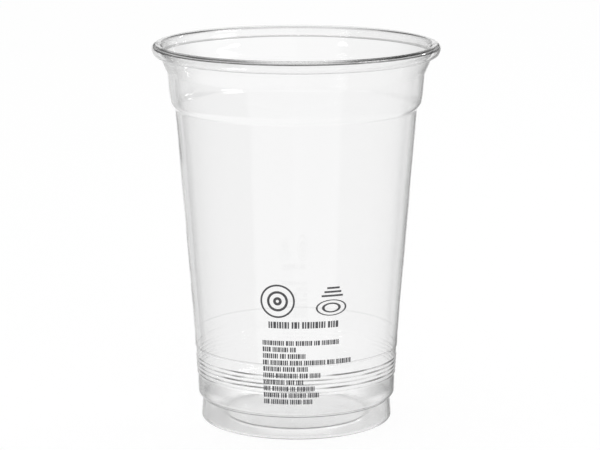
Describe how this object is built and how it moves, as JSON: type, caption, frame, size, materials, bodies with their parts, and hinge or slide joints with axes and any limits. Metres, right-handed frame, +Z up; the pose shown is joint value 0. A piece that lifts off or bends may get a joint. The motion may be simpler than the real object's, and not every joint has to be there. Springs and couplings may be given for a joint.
{
  "type": "plastic disposable cup",
  "caption": "Clear thermoformed drinking cup with a rolled rim, a stacking shoulder, a tapered body, a ribbed lower band and a raised floor.",
  "frame": {"origin": "centre of the standing ring, on the surface that the cup stands on", "axes": "+Z up along the cup's axis; the body is round, so X and Y are alike, and the printed mark faces -Y"},
  "size_m": [0.095, 0.095, 0.1264],
  "materials": {
    "clear_plastic": "clear, glossy"
  },
  "bodies": {
    "root": {"cup": "clear_plastic"}
  },
  "joints": []
}
